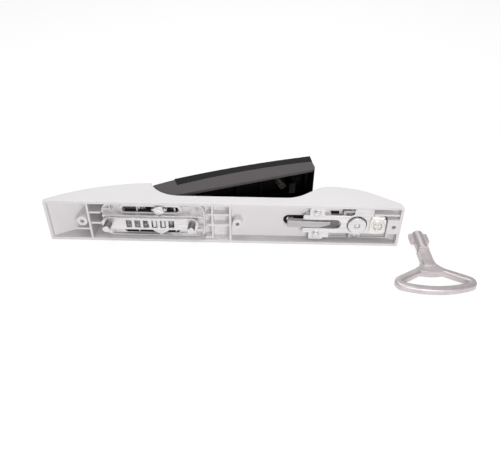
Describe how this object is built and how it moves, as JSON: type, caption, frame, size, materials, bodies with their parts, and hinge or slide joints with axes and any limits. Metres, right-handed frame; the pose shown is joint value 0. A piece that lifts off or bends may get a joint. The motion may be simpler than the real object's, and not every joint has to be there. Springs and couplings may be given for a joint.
{
  "type": "swing handle lock",
  "caption": "Narrow swing handle lock for a cabinet door: lever with a toothed sector, rack slider with drive pins, key-driven latch bolt, and its loose key.",
  "frame": {"origin": "middle fixing hole, on its axis, in the plane of the housing's back rim", "axes": "+X along the housing towards the lock insert, +Y out of the door towards the user, +Z across the housing; it stands on its -Z side"},
  "size_m": [0.3281, 0.1452, 0.037],
  "materials": {
    "housing_plastic": "light grey moulded plastic with a fine matt grain",
    "lever_plastic": "charcoal moulded plastic",
    "cover_plastic": "black moulded plastic with a fine grain",
    "die_cast": "die-cast zinc as cast",
    "zinc_plate": "bright zinc-plated pressed steel",
    "bolt_zinc": "grey zinc-plated steel",
    "screw_steel": "zinc-plated steel",
    "black_steel": "black-finished steel strip",
    "spring_steel": "spring wire",
    "yellow_zinc": "yellow passivated",
    "key_zinc": "die-cast zinc key with a satin skin"
  },
  "bodies": {
    "housing": {"housing_shell": "housing_plastic", "guide_frame": "die_cast", "frame_screws": "screw_steel", "pivot_pin": "screw_steel", "pin_lock_screw": "screw_steel", "lock_plate": "zinc_plate", "lock_plate_screws": "screw_steel", "clamp_plate": "yellow_zinc", "clamp_screw": "screw_steel", "insert_housing": "die_cast", "insert_screws": "screw_steel"},
    "lever": {"lever_body": "lever_plastic", "lever_cover": "cover_plastic", "gear_sector": "die_cast", "sector_screws": "screw_steel", "lever_catch": "black_steel", "catch_rivets": "black_steel", "pop_out_spring": "spring_steel"},
    "slider": {"rack_slider": "zinc_plate", "drive_pins": "screw_steel"},
    "bolt": {"latch_bolt": "bolt_zinc"},
    "rotor": {"key_rotor": "die_cast", "lock_cam": "zinc_plate", "cam_screw": "screw_steel"},
    "key": {"key": "key_zinc"}
  },
  "joints": [
    {"name": "lever_turn", "type": "hinge", "parent": "housing", "child": "lever", "pos_m": [-0.062, 0.014, 0], "axis": [0, 0, 1], "range_deg": [-22, 38]},
    {"name": "slider_travel", "type": "slide", "parent": "housing", "child": "slider", "axis": [1, 0, 0], "range_m": [-0.0058, 0.01]},
    {"name": "key_turn", "type": "hinge", "parent": "housing", "child": "rotor", "pos_m": [0.0947, 0, 0], "axis": [0, 1, 0], "range_deg": [0, 90]},
    {"name": "bolt_travel", "type": "slide", "parent": "housing", "child": "bolt", "axis": [1, 0, 0], "range_m": [0, 0.005]},
    {"name": "key_lift", "type": "slide", "parent": "housing", "child": "key", "axis": [0, 0, 1], "range_m": [0, 0.06]}
  ],
  "couplings": [
    {"joint": "slider_travel", "follows": "lever_turn", "m_per_rad": 0.014929},
    {"joint": "key_turn", "follows": "bolt_travel", "rad_per_m": 314.16}
  ]
}
